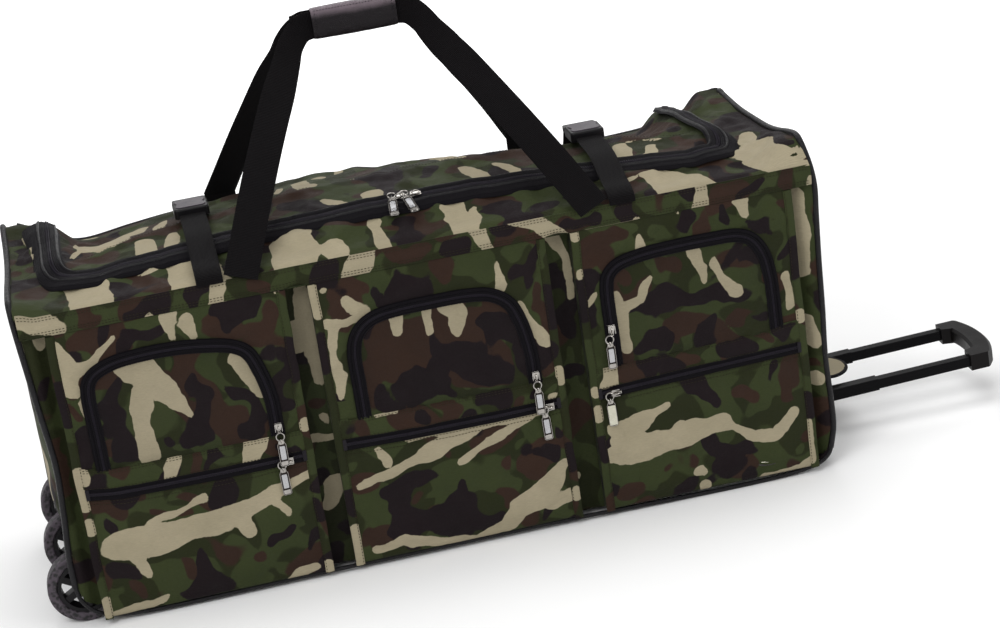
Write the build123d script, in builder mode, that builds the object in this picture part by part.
from build123d import *
import os
import math

# Rolling duffel bag. Millimetres, +Z up, +X towards the trolley handle, -Y towards the front pockets.
# Origin: on the ground, under the centre of the bag.

# ---------------------------------------------------------------- driving dimensions
X_LEFT = -508.0            # outer face of the left end wall
X_RIGHT = 514.0            # outer face of the right end wall
X_MID = (X_LEFT + X_RIGHT) / 2
Y_FRONT = -180.0           # outer face of the pockets
Y_WALL = -160.0            # outer face of the front wall, behind the pockets
Y_BACK = 180.0             # outer face of the back wall
WALL_Z0 = 12.0             # foot of the walls
SHOULDER_Z = 432.0         # where the walls meet the domed top
WALL = 3.0                 # padded fabric wall
INSET = 4.0                # how far wall edges stay inside the bag's outline
INNER_Y = (Y_WALL + Y_BACK) / 2             # middle of the main compartment
INNER_W = Y_BACK - Y_WALL - 2 * INSET       # width of the end walls and base

# lower left corner of the front and back walls, cut away for the wheels
CORNER_RUN = 62.0
CORNER_RISE = 96.0
CORNER_ARC_R = 110.0
CORNER_Z = WALL_Z0 + CORNER_RISE

# domed top
ARC_R = 4010.0             # radius of the main zip's line, seen from the front
CROWN = 34.0               # rise of the zip line over the shoulder at mid length
MIN_CROWN = 0.03           # least share of the rise, kept at the ends
# y, rise over the shoulder at mid length
DOME_PTS = [(-180.0, 0.0), (-98.0, 34.0), (10.0, 44.0), (130.0, 22.0), (180.0, 0.0)]
DOME_STATIONS = (X_LEFT - 4, -330.0, -160.0, 0.0, 160.0, 330.0, X_RIGHT + 4)
DOME_STEPS = 400           # samples along the dome curve
CUT_Z, CUT_H = 400.0, 120.0   # start and height of the prisms that trim the dome skins

# lid opening
LID_X0, LID_X1 = -462.0, 430.0
LID_Y0, LID_Y1 = -97.0, 128.0
LID_CORNER = 60.0
ZIP_W = 20.0               # width of the zip tape beside the lid
ZIP_GAP = 1.5              # gap between lid and zip tape

# wheel axle and trolley line
AXLE_X, AXLE_Z = -500.0, 48.0
TILT = math.radians(1.8)   # the tubes rise slightly towards the grip
TUBE_Y = 56.5              # half the distance between the two tubes
TUBE_Z = 54.0              # height of the tubes at the right end wall

# feet of the carry handles and front straps
FOOT_Y, FOOT_Z = 184.5, 437.0

os.makedirs("parts", exist_ok=True)


def save(piece, name):
    piece.label = name
    export_step(piece, f"parts/{name}.step")


def front_plane(y):
    """Plane at y that faces -Y, with local x along X and local y up."""
    return Plane.XZ.offset(-y)


def span(x0, x1, y0, y1):
    """Rectangle between two local x and two local y values, in the calling sketch."""
    with Locations(((x0 + x1) / 2, (y0 + y1) / 2)):
        Rectangle(x1 - x0, y1 - y0)


# ---------------------------------------------------------------- domed top
def crown(x):
    """Share of the full dome rise at position x along the bag."""
    return max(MIN_CROWN, (CROWN - x * x / (2 * ARC_R)) / CROWN)


DOME_CURVE = Spline(*DOME_PTS)
DOME_TABLE = [DOME_CURVE @ (i / DOME_STEPS) for i in range(DOME_STEPS + 1)]


def dome_z(x, y):
    """Height of the domed top at (x, y)."""
    start, end = next((p, q) for p, q in zip(DOME_TABLE, DOME_TABLE[1:]) if p.X <= y <= q.X)
    rise = start.Y + (end.Y - start.Y) * (y - start.X) / (end.X - start.X)
    return SHOULDER_Z + crown(x) * rise


def dome_skin(low, high):
    """The domed top as a skin from low to high above its outer surface."""
    with BuildPart() as skin:
        for x in DOME_STATIONS:
            share = crown(x)
            with BuildSketch(Plane(origin=(x, 0, 0), x_dir=(0, 1, 0), z_dir=(1, 0, 0))):
                with BuildLine():
                    upper = Spline(*[(y, SHOULDER_Z + share * rise + high) for y, rise in DOME_PTS])
                    lower = Spline(*[(y, SHOULDER_Z + share * rise + low) for y, rise in DOME_PTS])
                    Line(upper @ 0, lower @ 0)
                    Line(upper @ 1, lower @ 1)
                make_face()
        loft()
    return skin.part


SKIN_CLOTH = dome_skin(-WALL, 0.0)
SKIN_TAPE = dome_skin(0.3, 1.9)


def cloth_patch(x0, x1, y0, y1, corner=0.0):
    """Piece of the domed cloth over a rectangle, its front corners rounded if corner is given."""
    with BuildPart() as patch:
        with BuildSketch(Plane.XY.offset(CUT_Z)) as plan:
            span(x0, x1, y0, y1)
            if corner:
                fillet(plan.vertices().group_by(Axis.Y)[0], corner)
        extrude(amount=CUT_H)
        add(SKIN_CLOTH, mode=Mode.INTERSECT)
    return patch.part


# four sewn strips around the lid opening: x0, x1, y0, y1
SIDE_Y0, SIDE_Y1 = LID_Y0 - 0.7, LID_Y1 + 3.2
GUSSET_STRIPS = [
    (X_LEFT + 1, X_RIGHT - 1, -179.5, LID_Y0 - 1),          # front
    (X_LEFT + 1, X_RIGHT - 1, LID_Y1 + 3.5, 179.5),         # back
    (X_LEFT + 1, LID_X0 - 1, SIDE_Y0, SIDE_Y1),             # left
    (LID_X1 + 1, X_RIGHT - 1, SIDE_Y0, SIDE_Y1),            # right
]
save(Compound(children=[cloth_patch(*strip) for strip in GUSSET_STRIPS]), "top_gusset")

# lid: its front corners are rounded, its back edge is straight
save(cloth_patch(LID_X0, LID_X1, LID_Y0, LID_Y1, LID_CORNER), "lid_panel")

# main zip tape: a U beside the lid opening, on top of the gusset strips
ZIP_OUT = ZIP_GAP + ZIP_W       # outer edge of the tape, measured from the lid
with BuildPart() as main_zip_tape:
    with BuildSketch(Plane.XY.offset(CUT_Z)) as tape_plan:
        span(LID_X0 - ZIP_OUT, LID_X1 + ZIP_OUT, LID_Y0 - ZIP_OUT, LID_Y1 - 4)
        fillet(tape_plan.vertices().group_by(Axis.Y)[0], LID_CORNER + ZIP_W)
        with BuildSketch(mode=Mode.PRIVATE) as tape_hole:
            # runs past the tape's back ends, so that the U stays open there
            span(LID_X0 - ZIP_GAP, LID_X1 + ZIP_GAP, LID_Y0 - ZIP_GAP, LID_Y1 + 20)
            fillet(tape_hole.vertices().group_by(Axis.Y)[0], LID_CORNER + ZIP_GAP)
        add(tape_hole.sketch, mode=Mode.SUBTRACT)
    extrude(amount=CUT_H)
    add(SKIN_TAPE, mode=Mode.INTERSECT)
save(main_zip_tape.part, "main_zip_tape")

# ---------------------------------------------------------------- walls
POCKET_Z0, POCKET_Z1 = 10.0, 403.0


def long_wall(inside_y, top):
    """Front or back wall, from y = inside_y one wall thickness towards -Y, up to top."""
    left, right = X_LEFT + INSET, X_RIGHT - INSET
    with BuildPart() as wall:
        with BuildSketch(front_plane(inside_y)):
            with BuildLine():
                Polyline((right, WALL_Z0), (right, top), (left, top), (left, CORNER_Z))
                RadiusArc((left, CORNER_Z), (left + CORNER_RUN, WALL_Z0), CORNER_ARC_R)
                Line((left + CORNER_RUN, WALL_Z0), (right, WALL_Z0))
            make_face()
        extrude(amount=WALL)
    return wall.part


WALL_TOP = SHOULDER_Z - INSET
save(long_wall(Y_WALL + WALL, POCKET_Z1 + 0.5), "front_panel")
save(long_wall(Y_BACK, WALL_TOP), "back_panel")

# left end wall: ends above the wheels
with BuildPart() as left_end_panel:
    with BuildSketch(Plane.YZ.offset(X_LEFT)):
        span(Y_WALL + INSET, Y_BACK - INSET, CORNER_Z, WALL_TOP)
    extrude(amount=WALL)
save(left_end_panel.part, "left_end_panel")

# right end wall, with a window for the trolley tubes
with BuildPart() as right_end_panel:
    with BuildSketch(Plane.YZ.offset(X_RIGHT - WALL)):
        span(Y_WALL + INSET, Y_BACK - INSET, WALL_Z0, WALL_TOP)
        with Locations((0, TUBE_Z)):
            Rectangle(152, 34, mode=Mode.SUBTRACT)
    extrude(amount=WALL)
save(right_end_panel.part, "right_end_panel")

BASE_X0, BASE_X1 = -438.0, X_RIGHT - INSET
with BuildPart() as base_board:
    with BuildSketch(Plane.XY.offset(8)):
        with Locations(((BASE_X0 + BASE_X1) / 2, INNER_Y)):
            RectangleRounded(BASE_X1 - BASE_X0, INNER_W, 12)
    extrude(amount=3.6)
save(base_board.part, "base_board")

# binding band under the top's front edge: front face and the ledge over the pockets
BINDING_PROFILE = [     # y, z
    (-182.0, 404.2), (-182.0, 431.0), (-180.0, 431.0), (-180.0, 406.2),
    (-156.0, 406.2), (-156.0, 404.2), (-182.0, 404.2),
]
with BuildPart() as front_binding:
    with BuildSketch(Plane.YZ.offset(X_LEFT)):
        with BuildLine():
            Polyline(*BINDING_PROFILE)
        make_face()
    extrude(amount=X_RIGHT - X_LEFT)
save(front_binding.part, "front_binding")

# piping cord up, over and down each end wall
PIPE_R = 3.6
PIPE_GAP = 4.2             # from the end wall's outer face to the cord's centre
PIPE_Y = 168.0
PIPE_BEND_R = 14.0
PIPE_TOP = [(-PIPE_Y, 418), (-100, 433), (10, 438), (120, 434), (PIPE_Y, 418)]    # y, z


def piping(x, foot_z):
    with BuildPart() as cord:
        with BuildLine(Plane.YZ.offset(x)) as route:
            Polyline((-PIPE_Y, foot_z), *PIPE_TOP, (PIPE_Y, foot_z))
            # all but the two feet
            fillet(route.vertices().sort_by(Axis.Z)[2:], PIPE_BEND_R)
        with BuildSketch(Plane(origin=(x, -PIPE_Y, foot_z), z_dir=(0, 0, 1))):
            Circle(PIPE_R)
        sweep()
    return cord.part


pipings = [piping(X_LEFT - PIPE_GAP, 104), piping(X_RIGHT + PIPE_GAP, 16)]
save(Compound(children=pipings), "end_pipings")

# ---------------------------------------------------------------- front pockets
# left edge, right edge, arch outer left, arch outer right, arch top
POCKETS = {
    "left": (-482.0, -181.0, -454.0, -212.0, 364.0),
    "centre": (-150.0, 156.0, -116.0, 127.0, 356.0),
    "right": (190.0, 485.0, 219.0, 455.0, 366.0),
}
POCKET_WALL = 2.5
POCKET_BACK = Y_WALL - 0.3      # open back of the shells, just off the front wall
POCKET_DEPTH = POCKET_BACK - Y_FRONT
POCKET_EDGE_R = 5.0
TAPE_W = 17.0              # arch zip tape width
TAPE_T = 1.5
TAPE_BACK = Y_FRONT - 0.2  # back face of the tapes
ARCH_R = 58.0              # corner radius of the arch zips
ARCH_Z0 = 213.0            # foot of the arch zips
SLOT_Z0, SLOT_Z1 = 170.0, 182.0   # the straight zip below each arch
SLOT_Z = (SLOT_Z0 + SLOT_Z1) / 2


def arch_outline(arch, inset=0.0, foot=ARCH_Z0):
    """Private sketch of an arch (left, right, top), set in at the sides and top."""
    left, right, top = arch
    with BuildSketch(Plane.XZ, mode=Mode.PRIVATE) as outline:
        span(left + inset, right - inset, foot, top - inset)
        # a sketch's own vertices all have local Z 0, so this rounds all four corners
        fillet(outline.vertices().group_by(Axis.Z)[-1], ARCH_R - inset)
    return outline.sketch


def pocket_shell(left, right, arch):
    """Box open at the back, with an arch opening and a slot in its front face."""
    opening = arch_outline(arch, 5)
    with BuildPart() as shell:
        with BuildSketch(front_plane(POCKET_BACK)):
            span(left, right, POCKET_Z0, POCKET_Z1)
        extrude(amount=POCKET_DEPTH)
        fillet(shell.faces().sort_by(Axis.Y)[0].edges(), POCKET_EDGE_R)
        with BuildSketch(front_plane(POCKET_BACK)):
            span(left + POCKET_WALL, right - POCKET_WALL,
                 POCKET_Z0 + POCKET_WALL, POCKET_Z1 - POCKET_WALL)
        extrude(amount=POCKET_DEPTH - POCKET_WALL, mode=Mode.SUBTRACT)
        # arch opening and the slot behind the lower zip
        with BuildSketch(front_plane(-170)):
            add(opening)
            span(arch[0] + 4, arch[1] - 4, SLOT_Z - 2, SLOT_Z + 2)
        extrude(amount=20, mode=Mode.SUBTRACT)
    return shell.part


def arch_tape(arch):
    """Zip tape on the shell's face, covering the edge of the arch opening."""
    with BuildPart() as tape:
        with BuildSketch(front_plane(TAPE_BACK)):
            add(arch_outline(arch))
            add(arch_outline(arch, TAPE_W - 3, ARCH_Z0 - 5), mode=Mode.SUBTRACT)
        extrude(amount=TAPE_T)
    return tape.part


def slot_tape(left, right):
    """Straight zip tape below the arch."""
    with BuildPart() as tape:
        with BuildSketch(front_plane(TAPE_BACK)):
            span(left + 13, right - 13, SLOT_Z0, SLOT_Z1)
        extrude(amount=TAPE_T)
    return tape.part


def pocket_flap(arch):
    """Flap inside the arch tape."""
    with BuildPart() as flap:
        with BuildSketch(front_plane(Y_FRONT + POCKET_WALL - 0.4)):
            add(arch_outline(arch, TAPE_W - 2, ARCH_Z0 + 1.2))
        extrude(amount=POCKET_WALL)
    return flap.part


arch_tapes = []
slot_tapes = []
for side, (left, right, *arch) in POCKETS.items():
    save(pocket_shell(left, right, arch), f"pocket_shell_{side}")
    save(pocket_flap(arch), f"pocket_flap_{side}")
    arch_tapes.append(arch_tape(arch))
    slot_tapes.append(slot_tape(left, right))
save(Compound(children=arch_tapes + slot_tapes), "pocket_zip_tapes")

# oval badge with a raised middle, low on the right pocket
BADGE_TURN = math.radians(8)
BADGE_PLANE = Plane(
    origin=(417, Y_FRONT - 0.3, 46),
    x_dir=(math.cos(BADGE_TURN), 0, math.sin(BADGE_TURN)),
    z_dir=(0, -1, 0),
)
with BuildPart() as badge:
    with BuildSketch(BADGE_PLANE):
        Ellipse(30.5, 19.5)
    extrude(amount=1.6)
    with BuildSketch(badge.faces().sort_by(Axis.Y)[0]):
        Ellipse(22.5, 12.5)
    extrude(amount=1.4)
    chamfer(badge.faces().sort_by(Axis.Y)[0].edges(), 0.5)
save(badge.part, "badge")

# ---------------------------------------------------------------- wheels
WHEEL_R = 48.0
TYRE_T = 13.0
WHEEL_W = 24.0
RIM_R = WHEEL_R - TYRE_T
WHEEL_Y = {"front": -142.0, "middle": 0.0, "rear": 142.0}
AXLE_R = 4.0
BORE_R = 4.05
AXLE_Y0, AXLE_Y1 = -155.6, 163.2
ARM_T = 4.5
ARM_Y = (-128.5, -17.5, 13.0, 124.0, 156.5)     # front face of each fork arm
PLATE_X = -443.5           # right face of the carrier's upright plate
CARRIER_PROFILE = [     # x, z: upright plate with a shelf over the wheels
    (PLATE_X - 4, 12), (PLATE_X, 12), (PLATE_X, 104), (-504, 104),
    (-504, 99.5), (PLATE_X - 4, 99.5), (PLATE_X - 4, 12),
]
ARM_PROFILE = [         # x, z
    (-445, 14), (-445, 102), (-492, 102), (-511, 56),
    (-511, 40), (-500, 36), (-488, 36), (-445, 14),
]


def axle_plane(y):
    """Plane across the axle at y, facing +Y."""
    return Plane(origin=(AXLE_X, y, AXLE_Z), z_dir=(0, 1, 0))


with BuildPart() as wheel_carrier:
    with BuildSketch(front_plane(174)):
        with BuildLine():
            Polyline(*CARRIER_PROFILE)
        make_face()
    extrude(amount=330)
    # fork arms beside the wheels
    for y in ARM_Y:
        with BuildSketch(front_plane(y + ARM_T)):
            with BuildLine():
                Polyline(*ARM_PROFILE)
            make_face()
        extrude(amount=ARM_T)
    with Locations(axle_plane(0)):
        Cylinder(AXLE_R + 0.03, 400, mode=Mode.SUBTRACT)
save(wheel_carrier.part, "wheel_carrier")

# axle with a round head at the front and a hexagonal nut at the rear
with BuildPart() as wheel_axle:
    with BuildSketch(axle_plane(AXLE_Y0)):
        Circle(AXLE_R)
    extrude(amount=AXLE_Y1 - AXLE_Y0)
    with BuildSketch(axle_plane(AXLE_Y0 - 1)):
        Circle(7)
    extrude(amount=1.4)
    with BuildSketch(axle_plane(AXLE_Y1 - 1.6)):
        RegularPolygon(7, 6)
    extrude(amount=4)
save(wheel_axle.part, "wheel_axle")


def wheel_hub(wheel_y):
    """Rim, six spokes and a bored boss."""
    middle = axle_plane(wheel_y)
    with BuildPart() as hub:
        with BuildSketch(middle.offset(-10)):
            Circle(RIM_R - 0.04)
            Circle(RIM_R - 5, mode=Mode.SUBTRACT)
        extrude(amount=20)
        with BuildSketch(middle.offset(-8)):
            with PolarLocations(0, 6):
                with Locations((18, 0)):
                    Rectangle(26, 9)
            Circle(7, mode=Mode.SUBTRACT)
        extrude(amount=16)
        with BuildSketch(middle.offset(-11.5)):
            Circle(11)
        extrude(amount=23)
        with BuildSketch(middle.offset(-12)):
            Circle(BORE_R)
        extrude(amount=24, mode=Mode.SUBTRACT)
    return hub.part


def wheel_tyre(wheel_y):
    centre = (AXLE_X, wheel_y, AXLE_Z)
    with BuildPart() as tyre:
        with BuildSketch(Plane(origin=centre, x_dir=(1, 0, 0), z_dir=(0, 0, -1))):
            with Locations((RIM_R + TYRE_T / 2, 0)):
                RectangleRounded(TYRE_T, WHEEL_W, 3.4)
        revolve(axis=Axis(centre, (0, 1, 0)))
    return tyre.part


for name, wheel_y in WHEEL_Y.items():
    save(wheel_hub(wheel_y), f"wheel_hub_{name}")
    save(wheel_tyre(wheel_y), f"wheel_tyre_{name}")

# screw heads on the right face of the carrier plate
with BuildPart() as carrier_screws:
    for y in (-70, 70, 140):
        with BuildSketch(Plane(origin=(PLATE_X + 0.2, y, 60), z_dir=(1, 0, 0))):
            Circle(4.2)
        extrude(amount=2.4)
save(carrier_screws.part, "carrier_screws")

# three rails under the base: the flat faces the bag stands on
with BuildPart() as skid_feet:
    with BuildSketch(Plane.XY):
        with Locations((40, -90), (40, 0), (40, 90)):
            SlotOverall(860, 22)
    extrude(amount=7.8)
    # takes a single bottom face, so only one rail is chamfered
    chamfer(skid_feet.faces().sort_by(Axis.Z)[0].edges(), 1.5)
save(skid_feet.part, "skid_feet")

# ---------------------------------------------------------------- trolley
# distances along the tubes are measured from the right end wall's outer face
OUTER_W, OUTER_H, OUTER_T = 22.4, 19.9, 1.4
MIDDLE_W, MIDDLE_H, MIDDLE_T = 19.4, 16.9, 1.2
INNER_TUBE_W, INNER_TUBE_H, INNER_TUBE_T = 16.8, 14.3, 1.2
TUBE_R = 2.6               # outer corner radius of the tubes
STAGE_LEN = 300.0
MIDDLE_END = 101.0         # how far the middle stage stands out at rest
GRIP = 236.0               # near face of the grip at rest

ALONG = (math.cos(TILT), 0, math.sin(TILT))     # direction of the tubes
ABOVE = (-math.sin(TILT), 0, math.cos(TILT))    # square to the tubes, upwards
# across the tubes: local x along Y, local y up
TROLLEY = Plane(origin=(X_RIGHT, 0, TUBE_Z), x_dir=(0, 1, 0), z_dir=ALONG)


def tube_outlines(width, height, radius, mode=Mode.ADD):
    """Rounded rectangle at each of the two tubes, in the calling sketch."""
    with Locations((-TUBE_Y, 0), (TUBE_Y, 0)):
        RectangleRounded(width, height, radius, mode=mode)


def tube_pair(width, height, thickness, start, end):
    with BuildPart() as pair:
        with BuildSketch(TROLLEY.offset(start)):
            tube_outlines(width, height, TUBE_R)
            tube_outlines(width - 2 * thickness, height - 2 * thickness, 1.6, Mode.SUBTRACT)
        extrude(amount=end - start)
    return pair.part


save(tube_pair(OUTER_W, OUTER_H, OUTER_T, -954, -4.5), "trolley_outer_tubes")
save(tube_pair(MIDDLE_W, MIDDLE_H, MIDDLE_T, MIDDLE_END - STAGE_LEN, MIDDLE_END),
     "trolley_middle_tubes")
save(tube_pair(INNER_TUBE_W, INNER_TUBE_H, INNER_TUBE_T, GRIP + 8 - STAGE_LEN, GRIP + 14),
     "trolley_inner_tubes")

# oval plate the tubes leave through
with BuildPart() as trolley_bezel:
    with BuildSketch(Plane.YZ.offset(X_RIGHT + 0.3)):
        with Locations((0, TUBE_Z)):
            SlotOverall(172, 44)
    extrude(amount=4)
    # block that reaches in through the end wall
    with BuildSketch(Plane.YZ.offset(X_RIGHT + 0.5)):
        with Locations((0, TUBE_Z)):
            RectangleRounded(146, 28, 8)
    extrude(amount=-10)
    # passages for the middle tubes, then seats for the outer ones
    with BuildSketch(TROLLEY.offset(-20)):
        tube_outlines(MIDDLE_W + 0.3, MIDDLE_H + 0.3, 2.7)
    extrude(amount=40, mode=Mode.SUBTRACT)
    with BuildSketch(TROLLEY.offset(-20)):
        tube_outlines(OUTER_W + 0.4, OUTER_H + 0.4, 2.7)
    extrude(amount=15.8, mode=Mode.SUBTRACT)
save(trolley_bezel.part, "trolley_bezel")

# grip: two sockets joined by a bowed bar, hollow for the release link
with BuildPart() as trolley_grip:
    # plan outline: local x runs towards -Y, local y is the distance along the tubes
    with BuildSketch(Plane(origin=(X_RIGHT, 0, TUBE_Z), x_dir=(0, -1, 0), z_dir=ABOVE)):
        with BuildLine():
            Polyline((-68, GRIP), (-68, GRIP + 26), (-57, GRIP + 36))
            ThreePointArc((-57, GRIP + 36), (0, GRIP + 46), (57, GRIP + 36))
            Polyline((57, GRIP + 36), (68, GRIP + 26), (68, GRIP), (45, GRIP), (41, GRIP + 12))
            ThreePointArc((41, GRIP + 12), (0, GRIP + 16), (-41, GRIP + 12))
            Polyline((-41, GRIP + 12), (-45, GRIP), (-68, GRIP))
        make_face()
    extrude(amount=11.5, both=True)
    chamfer(trolley_grip.edges().filter_by(GeomType.CIRCLE), 3.5)
    # sockets for the tubes
    with BuildSketch(TROLLEY.offset(GRIP - 1)):
        tube_outlines(INNER_TUBE_W + 0.1, INNER_TUBE_H + 0.1, TUBE_R)
    extrude(amount=15.4, mode=Mode.SUBTRACT)
    # cavity for the link bar
    with BuildSketch(TROLLEY.offset(GRIP + 19.2)):
        Rectangle(2 * TUBE_Y + 12, 8)
    extrude(amount=10.8, mode=Mode.SUBTRACT)
    # passages from the sockets to the cavity
    with BuildSketch(TROLLEY.offset(GRIP + 14)):
        with Locations((-TUBE_Y, 0), (TUBE_Y, 0)):
            Rectangle(12, 8)
    extrude(amount=6, mode=Mode.SUBTRACT)
    # mouth for the button
    with BuildSketch(TROLLEY.offset(GRIP + 20)):
        SlotOverall(44.4, 9.4)
    extrude(amount=40, mode=Mode.SUBTRACT)
save(trolley_grip.part, "trolley_grip")

# release button with its link bar, and the rods it pushes down the tubes
LINK = GRIP + 24.6         # near face of the link bar
LINK_T = 5.0
with BuildPart() as grip_button:
    with BuildSketch(TROLLEY.offset(LINK + LINK_T)):
        SlotOverall(44, 9)
    extrude(amount=18)
    fillet(grip_button.faces().sort_by(Axis.X)[-1].edges(), 1.5)
    with BuildSketch(TROLLEY.offset(LINK)):
        Rectangle(2 * TUBE_Y + 8, 7)
    extrude(amount=LINK_T)
save(grip_button.part, "grip_button")

with BuildPart() as lock_rods:
    with BuildSketch(TROLLEY.offset(GRIP - 270)):
        with Locations((-TUBE_Y, 0), (TUBE_Y, 0)):
            Circle(2)
    extrude(amount=294.5)
save(lock_rods.part, "lock_rods")

# fabric tongue that covers the grip when it is pushed in; distance from X_RIGHT, z
TONGUE_TOP = [(0.6, 101), (10, 89.5), (36, 78), (76, 73.5)]
TONGUE_UNDER = [(0.6, 96), (9, 85.5), (35, 74.5), (76, 70.5)]
with BuildPart() as trolley_cover_flap:
    with BuildSketch(front_plane(50)):
        with BuildLine():
            upper = Spline(*[(X_RIGHT + x, z) for x, z in TONGUE_TOP])
            lower = Spline(*[(X_RIGHT + x, z) for x, z in TONGUE_UNDER])
            Line(upper @ 0, lower @ 0)
            Line(upper @ 1, lower @ 1)
        make_face()
    extrude(amount=100)
    # plan outline: a rounded tip on a straight root
    with BuildSketch(Plane.XY.offset(60)):
        with Locations((X_RIGHT + 24, 0)):
            Ellipse(50, 46)
        with Locations((X_RIGHT + 12, 0)):
            Rectangle(24, 92)
    extrude(amount=80, mode=Mode.INTERSECT)
save(trolley_cover_flap.part, "trolley_cover_flap")

# stiff floor inside the bag, parallel to the tubes
with BuildPart() as floor_panel:
    with BuildSketch(Plane(origin=(X_RIGHT, 0, TUBE_Z + 12), x_dir=ALONG, z_dir=ABOVE)):
        with Locations((-479, INNER_Y)):
            Rectangle(936, INNER_W - 4)
    extrude(amount=3)
save(floor_panel.part, "floor_panel")

# ---------------------------------------------------------------- carry handles
LEG_TOP_Y, LEG_TOP_Z, BAR_TOP_Z = 6.5, 672.0, 706.0
LEG_TOP_X = 82.0           # leg centre at the top, from the middle of the loop
LEG_HALF_W = 22.0
LEFT_FOOT_X, RIGHT_FOOT_X = 229.0, 221.0    # distance of the leg centres from x = 0
HANDLE_T = 2.4
LOOP_X = -19.0             # the loops lean a little towards the wheels
LEG_LEN = math.hypot(FOOT_Y - LEG_TOP_Y, LEG_TOP_Z - FOOT_Z)


def handle_loop(sign):
    """One webbing loop: two leaning legs and an upright top bar. sign -1 is the front loop."""
    across = Vector(-sign, 0, 0)
    up_leg = Vector(0, -sign * (FOOT_Y - LEG_TOP_Y), LEG_TOP_Z - FOOT_Z)
    lean = Plane(origin=(0, sign * FOOT_Y, FOOT_Z), x_dir=(-sign, 0, 0),
                 z_dir=across.cross(up_leg).normalized())
    with BuildPart() as loop:
        with BuildSketch(lean):
            for local_side in (-1, 1):
                # local x runs along -sign * X
                foot_x = LEFT_FOOT_X if local_side * -sign < 0 else RIGHT_FOOT_X
                foot = local_side * foot_x
                head = -sign * LOOP_X + local_side * LEG_TOP_X
                with BuildLine():
                    Polyline(
                        (foot - LEG_HALF_W, 0), (foot + LEG_HALF_W, 0),
                        (head + LEG_HALF_W, LEG_LEN), (head - LEG_HALF_W, LEG_LEN),
                        (foot - LEG_HALF_W, 0),
                    )
                make_face()
        extrude(amount=HANDLE_T / 2, both=True)
        with BuildSketch(front_plane(sign * LEG_TOP_Y + HANDLE_T / 2)):
            with Locations((LOOP_X, (LEG_TOP_Z + BAR_TOP_Z) / 2)):
                RectangleRounded(2 * (LEG_TOP_X + LEG_HALF_W), BAR_TOP_Z - LEG_TOP_Z, 8)
        extrude(amount=HANDLE_T)
    return loop.part


save(handle_loop(-1), "front_handle_webbing")
save(handle_loop(1), "rear_handle_webbing")

# leather wrap: front wall, top and bottom lips; open towards the rear loop
WRAP_LEN = 110.0
WRAP_PROFILE = [        # y, z
    (-13.5, 664), (2.5, 664), (2.5, 668), (-8.4, 668), (-8.4, 710),
    (2.5, 710), (2.5, 714), (-13.5, 714), (-13.5, 664),
]
with BuildPart() as handle_wrap:
    with BuildSketch(Plane.YZ.offset(LOOP_X - WRAP_LEN / 2)):
        with BuildLine():
            Polyline(*WRAP_PROFILE)
        make_face()
    extrude(amount=WRAP_LEN)
    fillet(handle_wrap.edges().filter_by(Axis.X).group_by(Axis.Y)[0], 3)
save(handle_wrap.part, "handle_wrap")

# ---------------------------------------------------------------- compression straps
STRAP_X = (-270.0, 262.0)
STRAP_W = 34.0
STRAP_T = 2.0
# y, gap over the dome
FRONT_GAPS = [(-150.0, 9), (-98.0, 12), (-60.0, 10), (-22.0, 9)]
REAR_GAPS = [(60.0, 5), (95.0, 3.5), (126.0, 3.0)]
REAR_START_Y = 40.9        # just behind the plug


def strap_points(x, gaps):
    """Strap route (y, z), clearing the dome under the strap edge nearer mid length."""
    high_edge = x - math.copysign(STRAP_W / 2, x)
    return [(y, dome_z(high_edge, y) + gap) for y, gap in gaps]


def strap_webbing(x, route):
    with BuildPart() as strap:
        with BuildSketch(Plane.YZ.offset(x - STRAP_W / 2)):
            with BuildLine():
                upper = Spline(*[(y, z + STRAP_T / 2) for y, z in route])
                lower = Spline(*[(y, z - STRAP_T / 2) for y, z in route])
                Line(upper @ 0, lower @ 0)
                Line(upper @ 1, lower @ 1)
            make_face()
        extrude(amount=STRAP_W)
    return strap.part


def buckle_socket(x, z):
    """Roof, two cheeks and a nose, open underneath and at the rear; z is the strap's end."""
    with BuildPart() as socket:
        with BuildSketch(Plane.XY.offset(z - 4)):
            with Locations((x, 0.5)):
                Rectangle(46, 43)
        extrude(amount=13)
        fillet(socket.edges().filter_by(Axis.Z), 5)
        fillet(socket.faces().sort_by(Axis.Z)[-1].edges(), 3)
        with BuildSketch(Plane.XY.offset(z - 5)):
            with Locations((x, 5)):
                Rectangle(40, 46)
        extrude(amount=11.4, mode=Mode.SUBTRACT)
    return socket.part


def buckle_plug(x, z):
    """Slotted body with two outer prongs and a middle one that lie in the socket."""
    with BuildPart() as plug:
        with BuildSketch(Plane.XY.offset(z - 2.5)):
            with Locations((x, 32)):
                RectangleRounded(44, 17, 4)
            with Locations((x - 15.5, 10), (x + 15.5, 10)):
                Rectangle(6, 32)
            with Locations((x, 12)):
                Rectangle(6, 26)
        extrude(amount=7)
        with BuildSketch(Plane.XY.offset(z - 2.5)):
            with Locations((x, 32)):
                Rectangle(36, 4)
        extrude(amount=7, mode=Mode.SUBTRACT)
    return plug.part


front_straps, rear_straps, sockets, plugs = [], [], [], []
for x in STRAP_X:
    front_route = [(-FOOT_Y, FOOT_Z)] + strap_points(x, FRONT_GAPS)
    buckle_z = front_route[-1][1]
    rear_route = [(REAR_START_Y, buckle_z + 1.0)] + strap_points(x, REAR_GAPS)
    front_straps.append(strap_webbing(x, front_route))
    rear_straps.append(strap_webbing(x, rear_route))
    sockets.append(buckle_socket(x, buckle_z))
    plugs.append(buckle_plug(x, buckle_z))
save(Compound(children=front_straps), "front_strap_webbing")
save(Compound(children=rear_straps), "rear_strap_webbing")
save(Compound(children=sockets), "buckle_sockets")
save(Compound(children=plugs), "buckle_plugs")

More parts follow.
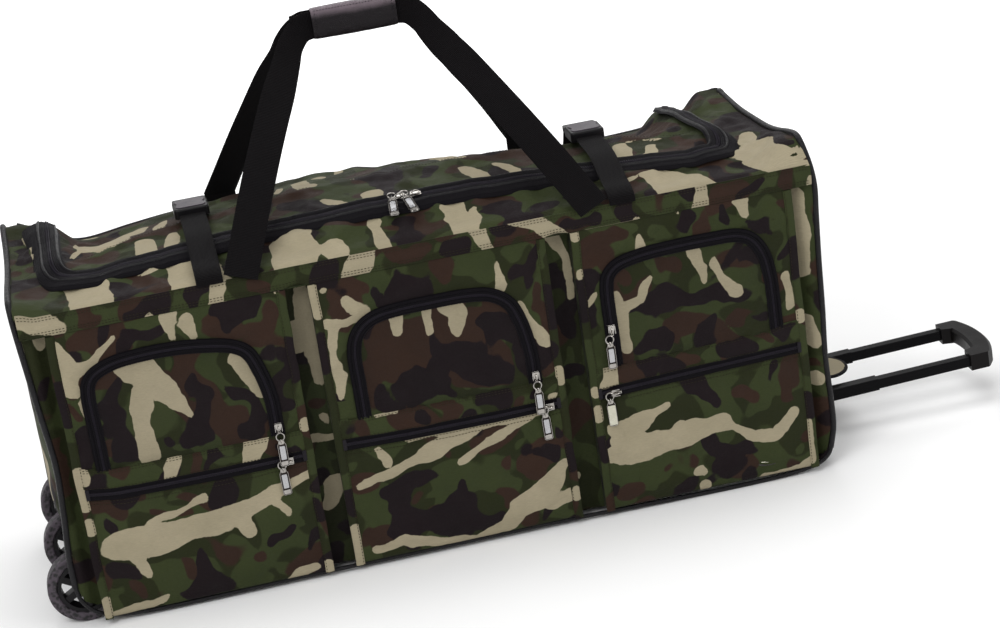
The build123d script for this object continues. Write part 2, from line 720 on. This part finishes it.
# ---------------------------------------------------------------- sliders and pull tabs
# slider x, pull tab x
MAIN_SLIDERS = {"left": (-9.0, -20.0), "right": (12.0, -2.5)}
SLOT_SLIDERS = {"left": (-214.0, -223.0), "centre": (131.0, 124.0), "right": (222.0, 212.0)}
# slider x, slider z, pull tab x
ARCH_SLIDERS = {
    "left": (-219.0, 222.5, -219.0),
    "centre": (119.5, 220.0, 119.0),
    "right": (226.5, 262.0, 221.0),
}
MAIN_TAB_SLOPE = math.radians(20)
SLIDER_BACK = Y_FRONT - 2.0     # back face of the pocket sliders


def zip_slider(plane, length=15.0):
    """Plate and bridge. The plane's x is across the zip, y along it, z outwards."""
    with BuildPart() as slider:
        with BuildSketch(plane):
            RectangleRounded(10.6, length, 3)
        extrude(amount=3.2)
        with BuildSketch(plane.offset(3.2)):
            RectangleRounded(4, 10, 1.5)
        extrude(amount=2.4)
    return slider.part


def pull_tab(plane, length):
    """Plate with a hole near its hinge end. The plane's y runs away from the hinge."""
    with BuildPart() as tab:
        with BuildSketch(plane):
            with Locations((0, length / 2)):
                RectangleRounded(10, length, 2.2)
            with Locations((0, 4.2)):
                SlotOverall(5, 3, mode=Mode.SUBTRACT)
        extrude(amount=1.8)
        # the frontmost face: the outer one on hanging tabs, the far end on sloping ones
        chamfer(tab.faces().sort_by(Axis.Y)[0].edges(), 0.4)
    return tab.part


def pocket_slider(x, z, across):
    plane = Plane(origin=(x, SLIDER_BACK, z), x_dir=across, z_dir=(0, -1, 0))
    return zip_slider(plane)


def hanging_tab(x, y, z, length):
    """Pull tab that hangs down from z, its back face at y."""
    return pull_tab(Plane(origin=(x, y, z), x_dir=(-1, 0, 0), z_dir=(0, -1, 0)), length)


# the main sliders sit square to the zip's arc; their tabs slope down to the front
for name, (x, tab_x) in MAIN_SLIDERS.items():
    angle = x / ARC_R
    zip_z = SHOULDER_Z + crown(x) * CROWN
    slider_plane = Plane(origin=(x, -103.6, zip_z + 2.3), x_dir=(0, 1, 0),
                         z_dir=(math.sin(angle), 0, math.cos(angle)))
    save(zip_slider(slider_plane, 17.0), f"main_slider_{name}")
    tab_plane = Plane(origin=(tab_x, -110.8, zip_z + 4.8), x_dir=(-1, 0, 0),
                      z_dir=(0, -math.sin(MAIN_TAB_SLOPE), math.cos(MAIN_TAB_SLOPE)))
    save(pull_tab(tab_plane, 38.0), f"main_pull_{name}")

for side, (x, z, tab_x) in ARCH_SLIDERS.items():
    save(pocket_slider(x, z, (1, 0, 0)), f"arch_slider_{side}")
    save(hanging_tab(tab_x, Y_FRONT - 8.4, z - 15.0, 36.0), f"arch_pull_{side}")

for side, (x, tab_x) in SLOT_SLIDERS.items():
    save(pocket_slider(x, SLOT_Z, (0, 0, 1)), f"slot_slider_{side}")
    save(hanging_tab(tab_x, Y_FRONT - 5.0, SLOT_Z - 8.0, 37.0), f"slot_pull_{side}")
